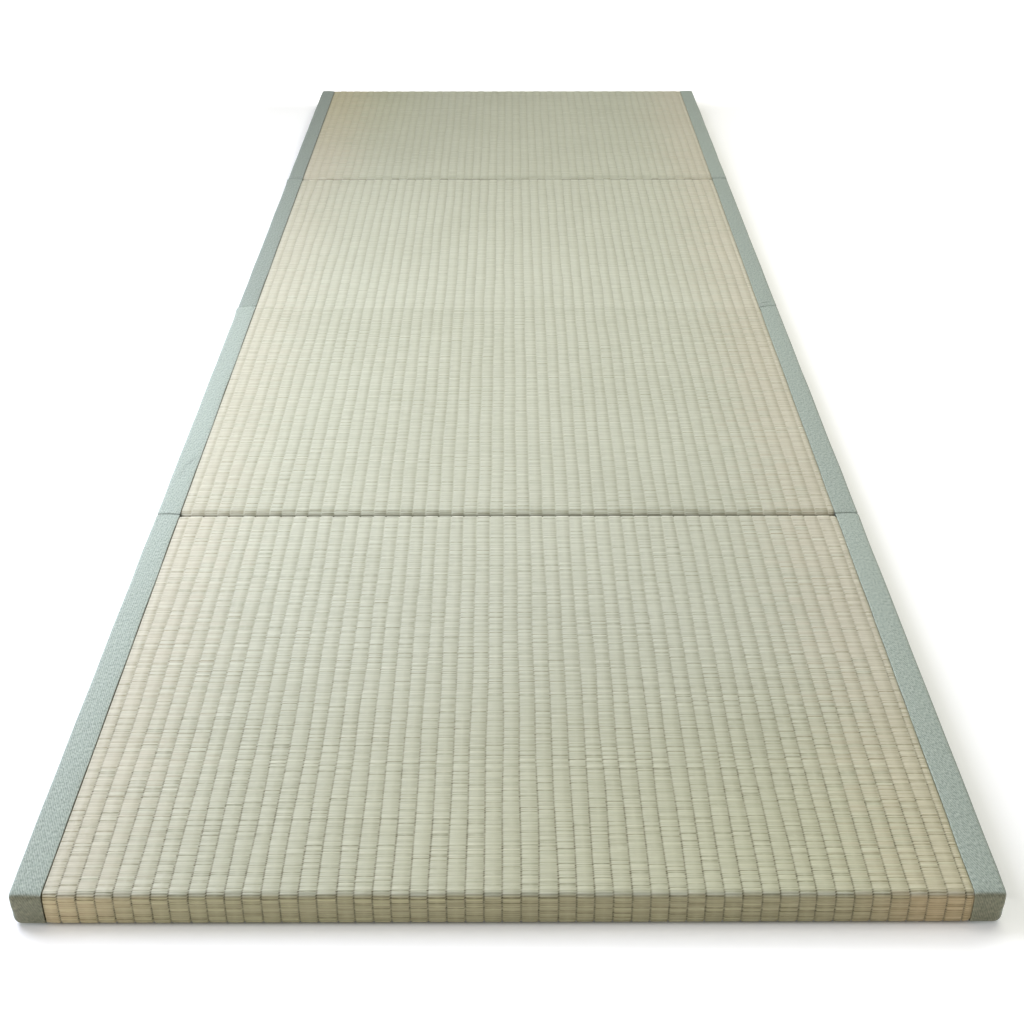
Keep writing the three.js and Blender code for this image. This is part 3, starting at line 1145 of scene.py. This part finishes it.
def binding_material():
    """Fine twill cloth in pale grey-green, with painted light and shade from its tone, and painted shade on
    its end walls, folds and pleats.
    """
    material, tree, shader = start_material("binding_twill")
    cloth = add_node(tree, "UVMap", uv_map="cloth").outputs["UV"]
    mottle = noise(tree, cloth, MOTTLE_SCALE)
    slub = noise(tree, stretched(tree, cloth, SLUB_SCALE), 1.0)
    threads = along_directions(tree, cloth, TWILL_SLANT, TWILL_PERIODS)
    dashes = noise(tree, threads, 1.0, detail=1.0)
    count = add_node(tree, "SeparateXYZ", {"Vector": threads}).outputs["X"]
    turns = calc(tree, "MULTIPLY", count, 2 * math.pi)
    rib = calc(tree, "SINE", calc(tree, "MULTIPLY_ADD", dashes, THREAD_SWAY, turns))
    weave = weighted(tree, calc(tree, "MULTIPLY", rib, THREAD_RIB), (dashes, THREAD_DASH))
    value = weighted(tree, 0.5, *zip((weave, mottle, slub), TWILL_MARKS.values()))
    # The painted tone holds painted light and shade on the edges, seams and single bindings
    colour = blend(tree, 1.0, ramp(tree, value, TWILL), painted(tree, "tone"), "MULTIPLY")
    # Painted shade on the walls at the mat's ends
    end_shade_colour = blend(tree, 1.0, colour, TWILL_END_SHADE, "MULTIPLY")
    colour = blend(tree, painted(tree, "end_wall_shade"), colour, end_shade_colour)
    # Painted shade in the folds and pleats
    crease_shade_share = calc(tree, "MULTIPLY", painted(tree, "crease_shade"), TWILL_CREASE_SHADE_SHARE)
    colour = blend(tree, crease_shade_share, colour, TWILL_CREASE_SHADE)
    finish = {
        "Base Color": colour,
        "Roughness": weighted(tree, 0.75, (mottle, 0.2)),
        "Normal": add_node(tree, "Bump", {"Height": weave, **TWILL_BUMP}).outputs["Normal"],
        "Specular IOR Level": 0.25,
        "Sheen Weight": 0.15,
    }
    set_inputs(tree, shader, finish)
    return material


def grey_ramp(tree, share, stops):
    return ramp(tree, share, [(stop, (light, light, light)) for stop, light in stops])


def floor_glow(tree, place):
    """Light of the floor itself, fading near the mat into a painted shadow: one for the mat's surroundings,
    one across the floor off its two ends.
    """
    parts = add_node(tree, "SeparateXYZ", {"Vector": place}).outputs
    sideways = calc(tree, "SUBTRACT", calc(tree, "ABSOLUTE", parts["X"]), HALF_WIDTH * MM)
    lengthways = calc(tree, "SUBTRACT", calc(tree, "ABSOLUTE", parts["Y"]), HALF_LENGTH * MM)
    past_end = calc(tree, "MULTIPLY", calc(tree, "ADD", lengthways, END_GLOW_FADE), END_GLOW_SLOPE)
    distance = calc(tree, "MAXIMUM", sideways, past_end)
    around = grey_ramp(tree, calc(tree, "DIVIDE", distance, FLOOR_GLOW_SPAN), FLOOR_GLOW)
    from_end = calc(tree, "SUBTRACT", lengthways, END_GLOW_START)
    off_end = grey_ramp(tree, calc(tree, "DIVIDE", from_end, END_GLOW_SPAN), END_GLOW)
    inside = calc(tree, "DIVIDE", sideways, -END_GLOW_FADE, clamp=True)
    return blend(tree, inside, around, off_end)


def floor_material():
    material, tree, shader = start_material("pale_floor")
    place = add_node(tree, "TexCoord").outputs["Object"]
    grain = add_node(tree, "TexNoise", {"Scale": GRAIN_SCALE, "Detail": 3.0, "Vector": place})
    finish = {
        "Base Color": ramp(tree, grain.outputs["Fac"], FLOOR),
        "Emission Color": floor_glow(tree, place),
        "Emission Strength": 1.0,
        "Roughness": 0.8,
        "Specular IOR Level": 0.1,
    }
    set_inputs(tree, shader, finish)
    return material


# Stage


def stage_mesh(name, points, faces, material):
    mesh = bpy.data.meshes.new(name)
    mesh.from_pydata(points, [], faces)
    mesh.materials.append(material)
    made = add_object(name, mesh)
    return made


def floor_corners(height):
    corners = [(-1, -1), (1, -1), (1, 1), (-1, 1)]
    return [(FLOOR_HALF * x, FLOOR_HALF * y, height) for x, y in corners]


def make_stage():
    """A pale floor, and pale walls far round it that only the camera sees, so they light nothing."""
    pale = floor_material()
    low = floor_corners(-FLOOR_DROP * MM)
    stage_mesh("floor", low, [(0, 1, 2, 3)], pale)
    walls = [(side, (side + 1) % 4, (side + 1) % 4 + 4, side + 4) for side in range(4)]
    backdrop = stage_mesh("backdrop", low + floor_corners(BACKDROP_HEIGHT), walls, pale)
    for ray in ("diffuse", "glossy", "transmission", "shadow"):
        setattr(backdrop, "visible_" + ray, False)


def make_light(name, place, aim, size, watts, colour):
    lamp = bpy.data.lights.new(name, "AREA")
    lamp.shape = "DISK"
    lamp.size = size
    lamp.energy = watts
    lamp.color = colour
    light = add_object(name, lamp)
    light.location = place
    light.rotation_euler = (Vector(aim) - Vector(place)).to_track_quat("-Z", "Y").to_euler()


def make_world():
    """A soft pale surround, brightest overhead."""
    world = bpy.data.worlds.new("studio")
    world.use_nodes = True
    tree = world.node_tree
    facing = add_node(tree, "TexCoord").outputs["Generated"]
    height = add_node(tree, "SeparateXYZ", {"Vector": facing}).outputs["Z"]
    inputs = {"Value": height, "From Max": SKY_TOP, "To Min": SKY_HORIZON, "To Max": SKY_ZENITH}
    strength = add_node(tree, "MapRange", inputs, interpolation_type="SMOOTHSTEP")
    sky = {"Color": (1.0, 1.0, 1.0, 1.0), "Strength": strength.outputs["Result"]}
    set_inputs(tree, tree.nodes["Background"], sky)
    bpy.context.scene.world = world


def make_camera():
    lens = bpy.data.cameras.new("camera")
    lens.sensor_width = SENSOR_WIDTH
    lens.lens = CAMERA_LENS
    camera = add_object("camera", lens)
    camera.location = CAMERA_PLACE
    camera.rotation_euler = [math.radians(angle) for angle in CAMERA_TURN]
    bpy.context.scene.camera = camera


rush = rush_material()
twill = binding_material()
for number, piece in enumerate(RUSH_PIECES, start=1):
    panel = make_rush(piece, number, rush)
    for side in ("left", "right"):
        make_binding(side, number, twill)
make_stage()
for light in LIGHTS:
    make_light(**light)
make_world()
make_camera()
bpy.context.scene.view_settings.view_transform = "Standard"
